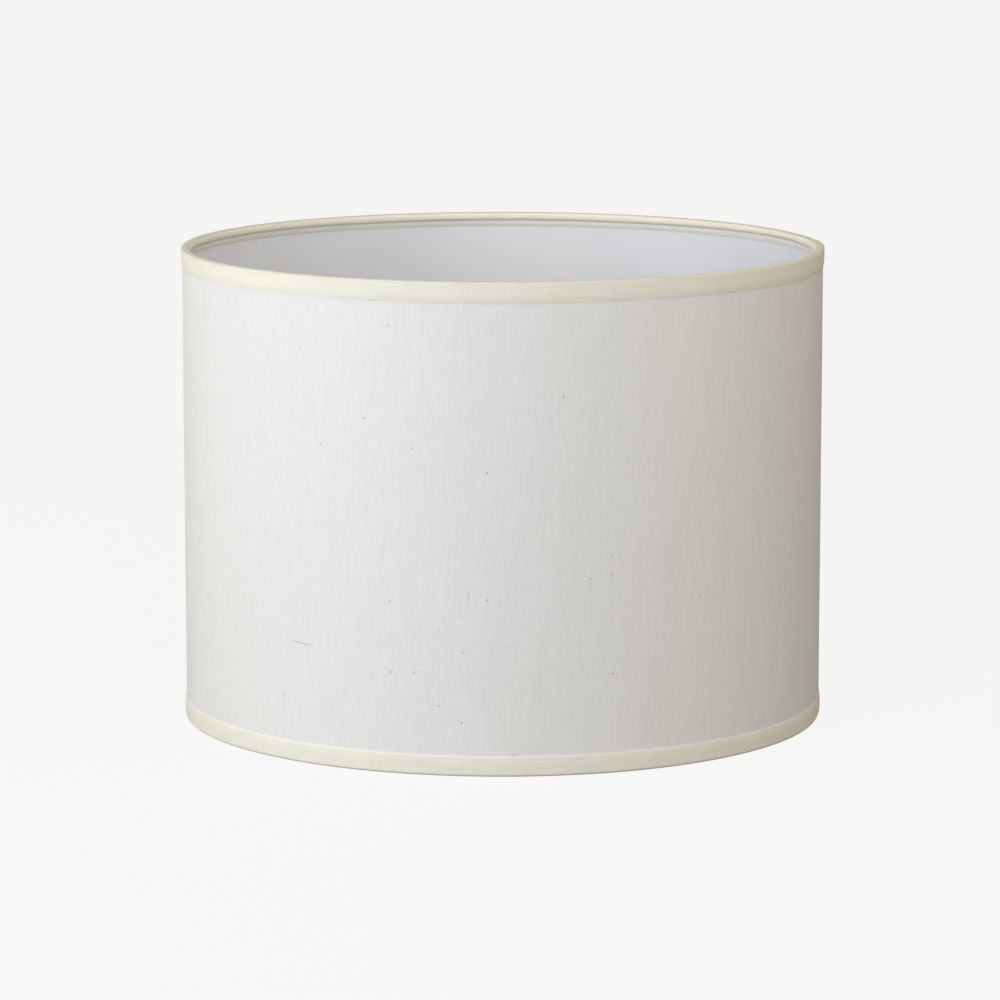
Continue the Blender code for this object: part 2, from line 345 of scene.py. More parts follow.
def tape_section(angle, seed):
    """The tape's middle line at one angle, before it climbs any lap. Both edges are pressed thin,
    one on the cover and one on the liner. The tail is tucked in by hand, so the tuck and the
    tail's edge wander, and it puckers."""
    place = on_ring(OUTER_RADIUS, 0, angle)
    wander = 0.16 * ripple(place, 45 * MM, seed) + 0.07 * ripple(place, 11 * MM, seed + 5)
    tail_wander = 0.30 * ripple(place, 30 * MM, seed + 9) + 0.15 * ripple(place, 8 * MM, seed)
    tuck_wander = 0.55 * ripple(place, 140 * MM, seed + 11) + 0.12 * ripple(place, 20 * MM, seed + 4)
    pucker = 0.5 + 0.8 * ripple(place, 9 * MM, seed + 2) + 0.5 * ripple(place, 4 * MM, seed + 3)
    puff = ripple(place, 16 * MM, seed + 7)
    path = []
    for (radius, depth), run in zip(TAPE_PATH, TAPE_RUN):
        outside = radius > LINER_INNER and depth > 2 * MM
        if outside:
            depth += wander * MM * smooth_step(depth / TAPE_OUTER_BAND)
            radius -= 0.40 * MM * max(0.0, 1 - run / (5.5 * MM)) ** 2
            radius += 0.05 * MM * puff * bell(run - 6 * MM, 3 * MM)
        elif run > RIM_RUN + 4 * MM:
            to_end = TAPE_LENGTH - run
            loose = smooth_step((run - RIM_RUN - 4 * MM) / (2.5 * MM))
            loose *= smooth_step((to_end - 0.5 * MM) / (3.5 * MM))
            depth += tuck_wander * MM * loose
            depth += tail_wander * MM * smooth_step(1.5 - to_end / (4 * MM))
            radius -= 0.14 * MM * max(0.0, pucker) * bell(to_end - 2.6 * MM, 1.4 * MM)
            radius += 0.41 * MM * max(0.0, 1 - to_end / (2.6 * MM)) ** 2
        path.append((radius, depth))
    return path


def tape_outline(path, extra):
    """The closed outline round the tape's middle line. extra is how much thicker its shown face
    is, as where its end is folded under, and it fades where the rim presses the fold flat."""
    shown, hidden = [], []
    for point, side, run in zip(path, sideways(path), TAPE_RUN):
        to_edge = min(run, TAPE_LENGTH - run)
        half = TAPE_THICKNESS / 2 * (0.28 + 0.72 * smooth_step(to_edge / (3.2 * MM)))
        fold = 0.05 * bell(run - 1.2 * MM, 0.7 * MM) - 0.02 * bell(run - 2.5 * MM, 0.5 * MM)
        shown.append(Vector(point) + side * (half + fold * MM + extra * lap_weight(run)))
        hidden.append(Vector(point) - side * half)
    return shown + hidden[::-1]


def lap_weight(run):
    """Where along the tape its lapped end can stand off: not over the rim's edge, where the fold
    presses both layers flat."""
    return 0.12 + 0.88 * smooth_step((abs(run - RIM_RUN) - 0.8 * MM) / (3 * MM))


def nick_edges(nick_angles):
    """The angles from the tape's start between which each nick is cut."""
    half = math.asin(NICK_HALF_WIDTH / WIRE_RING_RADIUS)
    middles = [(angle - TAPE_LAP_START) % (2 * math.pi) for angle in nick_angles]
    return [(middle - half, middle + half) for middle in middles]


def near_nick(turn, edges):
    return any(low - NICK_MARGIN < turn < high + NICK_MARGIN for low, high in edges)


def tape_loop(turn, end, seed, height_at):
    """The tape's outline as points, at an angle from its start."""
    whole = 2 * math.pi
    angle = TAPE_LAP_START + turn
    path = tape_section(angle, seed)
    climb = smooth_step((turn - whole) / (TAPE_LAP_RAMP / OUTER_RADIUS) + 1)
    from_end = (end - turn) * OUTER_RADIUS
    thicker = 0.16 * MM * smooth_step((4.5 * MM - from_end) / (1.5 * MM))
    thicker *= climb * min(1.0, from_end / (0.5 * MM)) ** 0.5
    lifted = []
    for point, side, run in zip(path, sideways(path), TAPE_RUN):
        off = climb * (TAPE_THICKNESS + 0.06 * MM) * lap_weight(run)
        lifted.append(tuple(Vector(point) + side * off))
    rise = tape_rise((angle - SEAM_ANGLE) % whole)
    loop = []
    for k, point in enumerate(tape_outline(lifted, thicker)):
        run = TAPE_RUN[min(k, 2 * len(path) - 1 - k)]
        outside = smooth_step((RIM_RUN + 2 * MM - run) / (2 * MM))
        loop.append(on_ring(point.x + rise * outside, height_at(point.y), angle))
    return loop


def rim_tape(name, height_at, seed, nick_angles=()):
    """A binding tape, from its start once round and on over that start. height_at turns the
    depth from the rim into a height."""
    end = 2 * math.pi + TAPE_LAP / OUTER_RADIUS
    edges = nick_edges(nick_angles)
    turns = steps(0.0, end, 3.0 * MM / OUTER_RADIUS)
    turns += near_ends(end)
    turns = [t for t in turns if not near_nick(t, edges)]
    turns = sorted(turns + [t for pair in edges for t in pair])
    loops = [tape_loop(turn, end, seed, height_at) for turn in turns]
    along = [turn * OUTER_RADIUS for turn in turns]
    around = TAPE_RUN + TAPE_RUN[::-1] + [0.0]
    past_rim = next(k for k, (r, d) in enumerate(TAPE_PATH) if r < WIRE_RING_RADIUS and d > MM / 2)
    nicks = [(turns.index(low), turns.index(high)) for low, high in edges]
    return lofted(name, loops, along, around, nicks=nicks, nick_from=past_rim, sharp=60)


# The wire frame, the fitter and the reducer.

def wire_ring(name, height):
    """A rim wire, drawn round and coated."""
    return turned(name, arc((WIRE_RING_RADIUS, height), WIRE_RADIUS, 0, 2 * math.pi, 16)[:-1], 288)


def arm_line():
    """An arm's middle line as (distance in from the ring, height): level, a slope up, level."""
    start = WIRE_RING_RADIUS - 0.6 * MM
    high = FITTER_HIGH + ARM_GAP + WIRE_RADIUS
    corners = [(start, WIRE_DEPTH), (ARM_FLAT_END, WIRE_DEPTH), (ARM_RISE_END, high)]
    corners.append((ARM_INNER_END, high))
    line = [corners[0]]
    for before, corner, after in zip(corners, corners[1:], corners[2:]):
        here = Vector(corner)
        back = (Vector(before) - here).normalized()
        ahead = (Vector(after) - here).normalized()
        half = back.angle(ahead) / 2
        reach = ARM_BEND_RADIUS / math.tan(half)
        centre = here + (back + ahead).normalized() * (ARM_BEND_RADIUS / math.sin(half))
        first, last = here + back * reach - centre, here + ahead * reach - centre
        for k in range(9):
            line.append(tuple(centre + first.lerp(last, k / 8).normalized() * ARM_BEND_RADIUS))
    line.append(corners[-1])
    fine = [line[0]]
    for a, b in zip(line, line[1:]):
        parts = steps(0.0, 1.0, 2 * MM / max((Vector(b) - Vector(a)).length, 2 * MM))[1:]
        fine += [tuple(Vector(a).lerp(Vector(b), share)) for share in parts]
    return fine


def spider_arm(name, angle):
    """A bent arm, with a small weld fillet where it meets the bottom ring and a ground, rounded
    end on the fitter."""
    line = arm_line()
    along = lengths(line)
    seed = 10 * angle
    loops = []
    for (radius, height), side, run in zip(line, sideways(line), along):
        to_end = along[-1] - run
        size = WIRE_RADIUS + 0.2 * MM * bell(run - 2.2 * MM, 1.0 * MM)
        size *= min(1.0, 0.25 + 0.75 * (max(to_end, 0.0) / (1.0 * MM)) ** 0.5)
        loop = []
        for k in range(16):
            turn = 2 * math.pi * k / 16
            across = math.cos(turn) * size
            up = math.sin(turn) * size
            point = on_ring(radius + side.x * up, height + side.y * up, angle)
            point += Vector((-math.sin(angle), math.cos(angle), 0)) * across
            lump = 0.06 * MM * ripple(point, 1.2 * MM, seed) * bell(run - 2.2 * MM, 1.5 * MM)
            loop.append(point + (point - on_ring(radius, height, angle)).normalized() * lump)
        loops.append(loop)
    around = [2 * math.pi * WIRE_RADIUS * k / 16 for k in range(17)]
    return lofted(name, loops, along, around)


def weld_bead(name, angle):
    """The lumpy bead that welds an arm's end to the fitter's top, under its coat."""
    centre_r = (ARM_INNER_END + FITTER_OUTER) / 2 + 0.2 * MM
    half_long, half_wide, rise = 1.9 * MM, 2.4 * MM, 1.1 * MM
    loops, along = [], []
    for i in range(1, 24):
        lean = math.pi * i / 24
        ring = []
        for k in range(28):
            turn = 2 * math.pi * k / 28
            out = half_long * math.cos(lean)
            across = half_wide * math.sin(lean) * math.cos(turn)
            up = rise * math.sin(lean) * math.sin(turn)
            point = on_ring(centre_r + out, FITTER_HIGH + up, angle)
            point += Vector((-math.sin(angle), math.cos(angle), 0)) * across
            ring.append(point + Vector((0, 0, 1)) * 0.16 * MM * ripple(point, 1.1 * MM, angle))
        loops.append(ring)
        along.append(half_long * (1 - math.cos(lean)))
    around = [2 * math.pi * half_wide * k / 28 for k in range(29)]
    return lofted(name, loops, along, around)


def fitter_ring(name):
    """A pressed washer with its outer edge turned down and a recess round its hole."""
    thick, hole, recess, depth = 1.5 * MM, 21 * MM, 27.6 * MM, 0.4 * MM
    low, shelf = FITTER_HIGH - thick, FITTER_HIGH - depth
    outline = rounded([
        (hole, low, 0.25 * MM),
        (FITTER_OUTER - thick, low, 0.5 * MM),
        (FITTER_OUTER - thick, FITTER_LOW, 0.3 * MM),
        (FITTER_OUTER, FITTER_LOW, 0.3 * MM),
        (FITTER_OUTER, FITTER_HIGH, thick),
        (recess, FITTER_HIGH, 0.12 * MM),
        (recess - 0.15 * MM, shelf, 0.12 * MM),
        (hole, shelf, 0.3 * MM),
    ])
    return turned(name, outline, 160)


def reducer_ring(name):
    """A moulded ring: a flange with a low bead round it, a spigot, and a web with the hole."""
    thick, seat = 1.6 * MM, REDUCER_HIGH - 1.6 * MM
    flange, spigot, hole = 27 * MM, 20.6 * MM, 14.5 * MM
    web = REDUCER_LOW + thick
    outline = rounded([
        (hole, REDUCER_LOW, 0.3 * MM),
        (spigot, REDUCER_LOW, 0.5 * MM),
        (spigot, seat, 0.2 * MM),
        (flange, seat, 0.3 * MM),
        (flange, REDUCER_HIGH, 0.5 * MM),
        (flange - 1.6 * MM, REDUCER_HIGH, 0.3 * MM),
        (flange - 1.9 * MM, REDUCER_HIGH - 0.25 * MM, 0.2 * MM),
        (spigot - thick + 0.6 * MM, REDUCER_HIGH - 0.25 * MM, 0.5 * MM),
        (spigot - thick, web, 0.5 * MM),
        (hole, web, 0.4 * MM),
    ])
    return turned(name, outline, 160)


# Materials. Every length in them is in metres.

class Finish:
    """One Principled material and the nodes that feed it."""

    def __init__(self, name, **fixed):
        self.material = bpy.data.materials.new(name)
        self.material.use_nodes = True
        self.tree = self.material.node_tree
        self.shader = self.tree.nodes["Principled BSDF"]
        for socket, value in fixed.items():
            self.shader.inputs[socket.replace("_", " ")].default_value = value

    def make(self, kind, **settings):
        node = self.tree.nodes.new("ShaderNode" + kind)
        for key, value in settings.items():
            setattr(node, key, value)
        return node

    def feed(self, node, socket, value):
        if isinstance(value, bpy.types.NodeSocket):
            self.tree.links.new(value, node.inputs[socket])
        else:
            node.inputs[socket].default_value = value

    def math(self, operation, *values, clamp=False):
        node = self.make("Math", operation=operation, use_clamp=clamp)
        for i, value in enumerate(values):
            self.feed(node, i, value)
        return node.outputs[0]

    def total(self, *parts):
        """The sum of (weight, value) pairs."""
        found = 0.0
        for weight, value in parts:
            found = self.math("MULTIPLY_ADD", value, weight, found)
        return found

    def cloth(self):
        """Where a point is on the flat cloth: across it, and along it."""
        node = self.make("UVMap", uv_map=CLOTH_MAP)
        parts = self.make("SeparateXYZ")
        self.feed(parts, 0, node.outputs["UV"])
        return node.outputs["UV"], parts.outputs["X"], parts.outputs["Y"]

    def solid(self):
        return self.make("TexCoord").outputs["Object"]

    def stretched(self, vector, across, along, shift=0.0, turn=0.0):
        """The vector in units of across by along metres, turned and shifted."""
        node = self.make("Mapping")
        self.feed(node, "Vector", vector)
        node.inputs["Scale"].default_value = (1 / across, 1 / along, 1 / along)
        node.inputs["Location"].default_value = (shift, 0.7 * shift, 0.3 * shift)
        node.inputs["Rotation"].default_value = (0, 0, turn)
        return node.outputs[0]

    def noise(self, vector, detail=2.0, roughness=0.5, distortion=0.0):
        """Smooth noise from 0 to 1, about 0.5."""
        node = self.make("TexNoise")
        self.feed(node, "Vector", vector)
        self.feed(node, "Scale", 1.0)
        self.feed(node, "Detail", detail)
        self.feed(node, "Roughness", roughness)
        self.feed(node, "Distortion", distortion)
        return node.outputs["Fac"]

    def spots(self, vector, size, share, flat=True):
        """Scattered spots from 0 to 1: size is their radius and share how many cells have one."""
        node = self.make("TexVoronoi", voronoi_dimensions="2D" if flat else "3D")
        self.feed(node, "Vector", vector)
        self.feed(node, "Scale", 1.0)
        tone = self.make("SeparateColor")
        self.feed(tone, 0, node.outputs["Color"])
        kept = self.math("LESS_THAN", tone.outputs[0], share)
        radius = self.math("MULTIPLY_ADD", tone.outputs[1], size, 0.5 * size)
        inside = self.span(self.math("DIVIDE", node.outputs["Distance"], radius), 1.15, 0.55)
        return self.math("MULTIPLY", inside, kept)

    def mark(self, flat, place, size, turn, waver=0.0):
        """One long spot on the cloth, from 0 to 1, that wavers along its length."""
        node = self.make("Mapping", vector_type="TEXTURE")
        self.feed(node, "Vector", flat)
        node.inputs["Location"].default_value = (*place, 0)
        node.inputs["Rotation"].default_value = (0, 0, turn)
        node.inputs["Scale"].default_value = (size[0] / 2, size[1] / 2, 1)
        parts = self.make("SeparateXYZ")
        self.feed(parts, 0, node.outputs[0])
        wave = self.math("SINE", self.math("MULTIPLY", parts.outputs["X"], 3.4))
        swing = self.math("MULTIPLY", wave, waver)
        off = self.math("ADD", parts.outputs["Y"], swing)
        away = self.math("SQRT", self.total((parts.outputs["X"], parts.outputs["X"]), (off, off)))
        return self.span(away, 1.1, 0.55)

    def span(self, value, low, high, to_low=0.0, to_high=1.0):
        """The value's part of the way from low to high, eased, as to_low to to_high."""
        node = self.make("MapRange", interpolation_type="SMOOTHSTEP")
        self.feed(node, "Value", value)
        self.feed(node, "From Min", low)
        self.feed(node, "From Max", high)
        self.feed(node, "To Min", to_low)
        self.feed(node, "To Max", to_high)
        return node.outputs[0]

    def blend(self, factor, first, second):
        """One colour or the other, by a factor from 0 to 1."""
        node = self.make("Mix", data_type="RGBA")
        self.feed(node, 0, factor)
        for socket, value in (("A_Color", first), ("B_Color", second)):
            target = next(s for s in node.inputs if s.identifier == socket)
            if isinstance(value, bpy.types.NodeSocket):
                self.tree.links.new(value, target)
            else:
                target.default_value = (*value, 1.0)
        return next(s for s in node.outputs if s.identifier == "Result_Color")

    def weave(self, across, along, pitch):
        """The height of a plain weave, from 0 to 1: threads along and across cross by turns."""
        u = self.math("MULTIPLY", across, math.pi / pitch)
        v = self.math("MULTIPLY", along, math.pi / pitch)
        swap = self.math("MULTIPLY", self.math("SINE", u), self.math("SINE", v))
        swap = self.math("MULTIPLY_ADD", swap, 0.5, 0.5)
        up = self.math("ABSOLUTE", self.math("COSINE", u))
        over = self.math("ABSOLUTE", self.math("COSINE", v))
        return self.total((swap, up), (self.math("SUBTRACT", 1.0, swap), over))

    def finish(self, colour, roughness, height):
        """Joins a colour, a roughness and a height in metres to the shader."""
        self.tree.links.new(colour, self.shader.inputs["Base Color"])
        self.tree.links.new(roughness, self.shader.inputs["Roughness"])
        bump = self.make("Bump")
        bump.inputs["Strength"].default_value = 1.0
        bump.inputs["Distance"].default_value = 1.0
        self.feed(bump, "Height", height)
        self.tree.links.new(bump.outputs["Normal"], self.shader.inputs["Normal"])
        return self.material


def panel_place(front, height):
    """Where on the flat panel a point is: front is its angle round from the camera's side, in
    degrees, towards +X, and height is above the base."""
    return FABRIC_RADIUS * (math.radians(270 + front) - SEAM_ANGLE), height - PANEL_LOW


def cotton():
    """Plain-weave cotton: uneven yarns that show as long thin streaks, slubs both ways, seed
    flecks, one dark thread and two tan ones caught in the weave."""
    f = Finish("cotton_cover", Sheen_Weight=0.10, Sheen_Roughness=0.5, Specular_IOR_Level=0.2)
    flat, run, rise = f.cloth()
    warp = f.noise(f.stretched(flat, 0.9 * MM, 10 * MM), 2.0)
    weft = f.noise(f.stretched(flat, 12 * MM, 0.8 * MM, shift=5.0), 2.0)
    coarse = f.noise(f.stretched(flat, 2.2 * MM, 26 * MM, shift=9.0), 1.0)
    mottle = f.noise(f.stretched(flat, 45 * MM, 45 * MM, shift=2.0), 3.0)
    weave = f.weave(run, rise, 0.5 * MM)
    slub_up = f.spots(f.stretched(flat, 3 * MM, 36 * MM), 0.16, 0.10)
    slub_over = f.spots(f.stretched(flat, 30 * MM, 3 * MM, shift=4.0), 0.15, 0.05)
    flecks = f.spots(f.stretched(flat, 15 * MM, 15 * MM, shift=7.0), 0.032, 0.09)
    dark = f.mark(flat, panel_place(-37.2, 73 * MM), (18 * MM, 0.55 * MM), math.radians(-4), 0.7)
    tan_up = f.mark(flat, panel_place(-5.7, 108 * MM), (10 * MM, 0.5 * MM), math.radians(91), 0.5)
    tan_over = f.mark(flat, panel_place(1.4, 78 * MM), (11 * MM, 0.4 * MM), 0.0, 0.5)

    tone = f.total((0.45, warp), (0.25, weft), (0.3, coarse))
    colour = f.blend(f.span(tone, 0.36, 0.64), (0.821, 0.805, 0.791), (0.853, 0.839, 0.827))
    colour = f.blend(f.span(mottle, 0.3, 0.7, 0.0, 0.10), colour, (0.800, 0.775, 0.730))
    colour = f.blend(f.math("MULTIPLY", slub_up, 0.14), colour, (0.92, 0.90, 0.87))
    colour = f.blend(f.math("MULTIPLY", slub_over, 0.14), colour, (0.92, 0.90, 0.87))
    # Painted shade: the weave's low points, where threads dip under each other, are darkened.
    colour = f.blend(f.span(weave, 0.55, 0.1, 0.0, 0.10), colour, (0.60, 0.58, 0.52))
    colour = f.blend(f.math("MULTIPLY", tan_up, 0.55), colour, (0.42, 0.36, 0.28))
    colour = f.blend(f.math("MULTIPLY", tan_over, 0.45), colour, (0.60, 0.47, 0.34))
    colour = f.blend(f.math("MULTIPLY", flecks, 0.60), colour, (0.24, 0.19, 0.14))
    colour = f.blend(f.math("MULTIPLY", dark, 0.60), colour, (0.20, 0.17, 0.14))

    roughness = f.span(tone, 0.3, 0.7, 0.95, 0.82)
    height = f.total(
        (0.040 * MM, weave),
        (0.22 * MM, warp),
        (0.08 * MM, weft),
        (0.10 * MM, coarse),
        (0.05 * MM, slub_up),
        (0.04 * MM, slub_over),
        (0.12 * MM, dark),
    )
    return f.finish(colour, roughness, height)


def tape():
    """Cream cotton tape, closely woven. Its pressed edge and tucked tail are painted lighter as
    highlights, a painted shadow line runs just beyond the pressed edge, and the tape over the
    rim's top and the weave's low points are painted darker as shade."""
    f = Finish("cream_tape", Sheen_Weight=0.12, Sheen_Roughness=0.5, Specular_IOR_Level=0.22)
    flat, run, rise = f.cloth()
    lengthwise = f.noise(f.stretched(flat, 20 * MM, 0.55 * MM), 2.0)
    crosswise = f.noise(f.stretched(flat, 0.7 * MM, 5 * MM, shift=3.0), 2.0)
    mottle = f.noise(f.stretched(flat, 24 * MM, 9 * MM, shift=6.0), 3.0)
    weave = f.weave(run, rise, 0.36 * MM)
    slubs = f.spots(f.stretched(flat, 22 * MM, 2 * MM, shift=1.0), 0.18, 0.12)
    fold = f.span(rise, 1.7 * MM, 1.1 * MM)
    painted_edge_shadow = f.math("MULTIPLY", f.span(rise, 1.5 * MM, 2.1 * MM), f.span(rise, 3.2 * MM, 2.2 * MM))
    painted_crest_shade = f.span(f.math("ABSOLUTE", f.math("SUBTRACT", rise, RIM_RUN)), 3.4 * MM, 1.2 * MM)
    tucked = f.span(rise, RIM_RUN + 6.5 * MM, RIM_RUN + 8.5 * MM)
    # Mottled patches over the rim's top: painted darker as shade, and a little glossier where
    # rubbed.
    crest_shade_and_rub = f.math("MULTIPLY", painted_crest_shade, f.span(mottle, 0.35, 0.65))

    tone = f.total((0.45, lengthwise), (0.3, crosswise), (0.25, mottle))
    colour = f.blend(f.span(tone, 0.34, 0.66), (0.845, 0.805, 0.705), (0.905, 0.870, 0.780))
    # Painted highlight: the pressed edge is lightened.
    colour = f.blend(f.math("MULTIPLY", fold, 0.30), colour, (0.93, 0.91, 0.85))
    # Painted highlight: the tail tucked on to the liner is lightened.
    colour = f.blend(f.math("MULTIPLY", tucked, 0.85), colour, (0.94, 0.92, 0.86))
    # Painted shadow: a thin darker line just beyond the pressed edge.
    colour = f.blend(f.math("MULTIPLY", painted_edge_shadow, 0.10), colour, (0.72, 0.66, 0.54))
    # Painted shade: the tape over the rim's top is darkened, more in the mottled patches.
    colour = f.blend(f.math("MULTIPLY", painted_crest_shade, 0.85), colour, (0.60, 0.56, 0.47))
    colour = f.blend(f.math("MULTIPLY", crest_shade_and_rub, 0.25), colour, (0.80, 0.77, 0.68))
    colour = f.blend(f.math("MULTIPLY", slubs, 0.20), colour, (0.93, 0.90, 0.82))
    # Painted shade: the weave's low points, where threads dip under each other, are darkened.
    colour = f.blend(f.span(weave, 0.55, 0.1, 0.0, 0.12), colour, (0.58, 0.50, 0.36))

    roughness = f.span(f.total((0.7, tone), (0.3, crest_shade_and_rub)), 0.3, 0.9, 0.93, 0.72)
    height = f.total(
        (0.035 * MM, weave),
        (0.06 * MM, lengthwise),
        (0.05 * MM, crosswise),
        (0.08 * MM, slubs),
        (0.10 * MM, mottle),
    )
    return f.finish(colour, roughness, height)


def pvc():
    """White satin PVC sheet: faint orange peel, roll marks, and a few light scuffs."""
    f = Finish("white_pvc", Specular_IOR_Level=0.35)
    flat = f.cloth()[0]
    peel = f.noise(f.stretched(flat, 1.4 * MM, 1.4 * MM), 2.0)
    rolled = f.noise(f.stretched(flat, 5 * MM, 160 * MM, shift=4.0), 2.0)
    cloud = f.noise(f.stretched(flat, 60 * MM, 60 * MM, shift=8.0), 3.0)
    scuffs = f.spots(f.stretched(flat, 60 * MM, 5 * MM, shift=2.0, turn=0.5), 0.10, 0.10)
    colour = f.blend(f.span(cloud, 0.3, 0.7), (0.770, 0.780, 0.825), (0.795, 0.804, 0.848))
    colour = f.blend(f.math("MULTIPLY", scuffs, 0.15), colour, (0.72, 0.72, 0.73))
    roughness = f.span(f.total((0.6, cloud), (0.4, rolled)), 0.3, 0.7, 0.42, 0.54)
    height = f.total((0.006 * MM, peel), (0.012 * MM, rolled), (-0.010 * MM, scuffs))
    return f.finish(colour, roughness, height)


def coated_wire():
    """White epoxy coat on steel: orange peel, slight yellowing, and pinhead chips."""
    f = Finish("coated_wire", Specular_IOR_Level=0.5)
    place = f.solid()
    peel = f.noise(f.stretched(place, 1.1 * MM, 1.1 * MM), 2.0)
    cloud = f.noise(f.stretched(place, 30 * MM, 30 * MM, shift=3.0), 3.0)
    chips = f.spots(f.stretched(place, 7 * MM, 7 * MM, shift=5.0), 0.07, 0.05, flat=False)
    colour = f.blend(f.span(cloud, 0.3, 0.7), (0.840, 0.838, 0.820), (0.790, 0.785, 0.760))
    colour = f.blend(f.math("MULTIPLY", chips, 0.8), colour, (0.36, 0.35, 0.33))
    roughness = f.span(peel, 0.3, 0.7, 0.28, 0.40)
    height = f.total((0.014 * MM, peel), (-0.03 * MM, chips), (0.02 * MM, cloud))
    return f.finish(colour, roughness, height)


def white_plastic():
    """Moulded white plastic: a fine spark-eroded grain and faint flow lines."""
    f = Finish("white_plastic", Specular_IOR_Level=0.45)
    place = f.solid()
    grain = f.noise(f.stretched(place, 0.35 * MM, 0.35 * MM), 2.0)
    flow = f.noise(f.stretched(place, 14 * MM, 4 * MM, shift=2.0), 3.0, 0.5, 0.6)
    colour = f.blend(f.span(flow, 0.3, 0.7), (0.860, 0.860, 0.842), (0.825, 0.822, 0.798))
    roughness = f.span(f.total((0.5, flow), (0.5, grain)), 0.3, 0.7, 0.34, 0.46)
    height = f.total((0.008 * MM, grain), (0.006 * MM, flow))
    return f.finish(colour, roughness, height)


def adhesive():
    """Double-sided tape, yellowish, with trapped air."""
    f = Finish("adhesive", Specular_IOR_Level=0.5)
    place = f.solid()
    cloud = f.noise(f.stretched(place, 6 * MM, 6 * MM), 3.0)
    bubbles = f.spots(f.stretched(place, 3 * MM, 3 * MM, shift=4.0), 0.2, 0.3, flat=False)
    colour = f.blend(f.span(cloud, 0.3, 0.7), (0.74, 0.71, 0.62), (0.80, 0.78, 0.72))
    colour = f.blend(f.math("MULTIPLY", bubbles, 0.5), colour, (0.86, 0.85, 0.81))
    roughness = f.span(cloud, 0.3, 0.7, 0.26, 0.38)
    height = f.total((0.02 * MM, bubbles), (0.01 * MM, cloud))
    return f.finish(colour, roughness, height)


# The object.

def show(piece, material, body, slot, *nodes):
    """Gives a piece its material and its body, and hides the CAD nodes it stands for. slot is not
    used.
    """
    piece.data.materials.append(material)
    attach(piece, body)
    if nodes:
        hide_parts(*nodes)
    return piece


def make_panel():
    liner = rolled_panel("liner_rolled", LINER_RADIUS, LINER_THICKNESS, 24 * MM, hem=False)
    show(liner, pvc(), "shade", "white_pvc", "liner")
    cover = rolled_panel("cover_cotton", FABRIC_RADIUS, FABRIC_THICKNESS, 5 * MM, hem=True)
    show(cover, cotton(), "shade", "cotton_cover", "cover_fabric")
    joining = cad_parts["seam_tape"]
    joining.material_slots[0].material = adhesive()


def make_trims(wire_names):
    cloth = tape()
    top = rim_tape("top_trim_tape", lambda depth: HEIGHT - depth, 2.3)
    bottom = rim_tape("bottom_trim_tape", lambda depth: depth, 6.1, ARM_ANGLES)
    for piece, node, wire in zip((top, bottom), ("top_trim", "bottom_trim"), wire_names):
        show(piece, cloth, "shade", "cream_tape", node)


def make_frame():
    coat = coated_wire()
    top = wire_ring("top_ring_coated", HEIGHT - WIRE_DEPTH)
    bottom = wire_ring("bottom_ring_coated", WIRE_DEPTH)
    show(top, coat, "shade", "coated_wire", "top_ring")
    show(bottom, coat, "shade", "coated_wire", "bottom_ring")
    for number, angle in enumerate(ARM_ANGLES, 1):
        arm = spider_arm(f"arm_{number}_coated", angle)
        show(arm, coat, "shade", "coated_wire", f"spider_arm_{number}")
        show(weld_bead(f"arm_{number}_weld", angle), coat, "shade", "coated_wire")
    show(fitter_ring("fitter_coated"), coat, "shade", "coated_wire", "fitter_ring")
    moulded = reducer_ring("reducer_moulded")
    show(moulded, white_plastic(), "reducer", "white_plastic", "reducer_ring")
    return top.name, bottom.name


# The studio.

CAMERA_PLACE = (-1.3 * MM, -3.0, 0.627)
CAMERA_PITCH = 0.163
CAMERA_LENS = 173.9
BACKDROP = 0.909
FRONT_ANGLE = math.radians(-9)
ROOM_EVEN = (0.65, 0.62, 0.575)
ROOM_FRONT = (0.425, 0.39, 0.36)
ROOM_ABOVE = (-0.20, -0.20, -0.20)
KEY_ANGLE = math.radians(-69)
KEY_RISE = math.radians(20)
KEY_DISTANCE = 1.15
KEY_SIZE = 0.7
KEY_LIGHT = (4.6, 4.8, 4.7)
TOP_PLACE = (0.32, -0.30, 0.80)
TOP_SIZE = 0.7
TOP_LIGHT = (1.4, 1.25, 0.95)
FILL_PLACE = (-0.30, -1.05, 0.58)
FILL_SIZE = 0.8
FILL_LIGHT = (2.1, 2.7, 3.4)
FLOOR_TONE = (0.30, 0.30, 0.29)
FLOOR_HALF_WIDTH = 60.0
FLOOR_DROP = 0.15 * MM
FLOOR_DIMMER = 0.024
FLOOR_SHADOW_TONE = (0.05, 0.05, 0.05)


def studio_nodes(tree, output_kind):
    tree.nodes.clear()
    output = tree.nodes.new(output_kind)
    seen = tree.nodes.new("ShaderNodeLightPath")
    return output, seen.outputs["Is Camera Ray"]


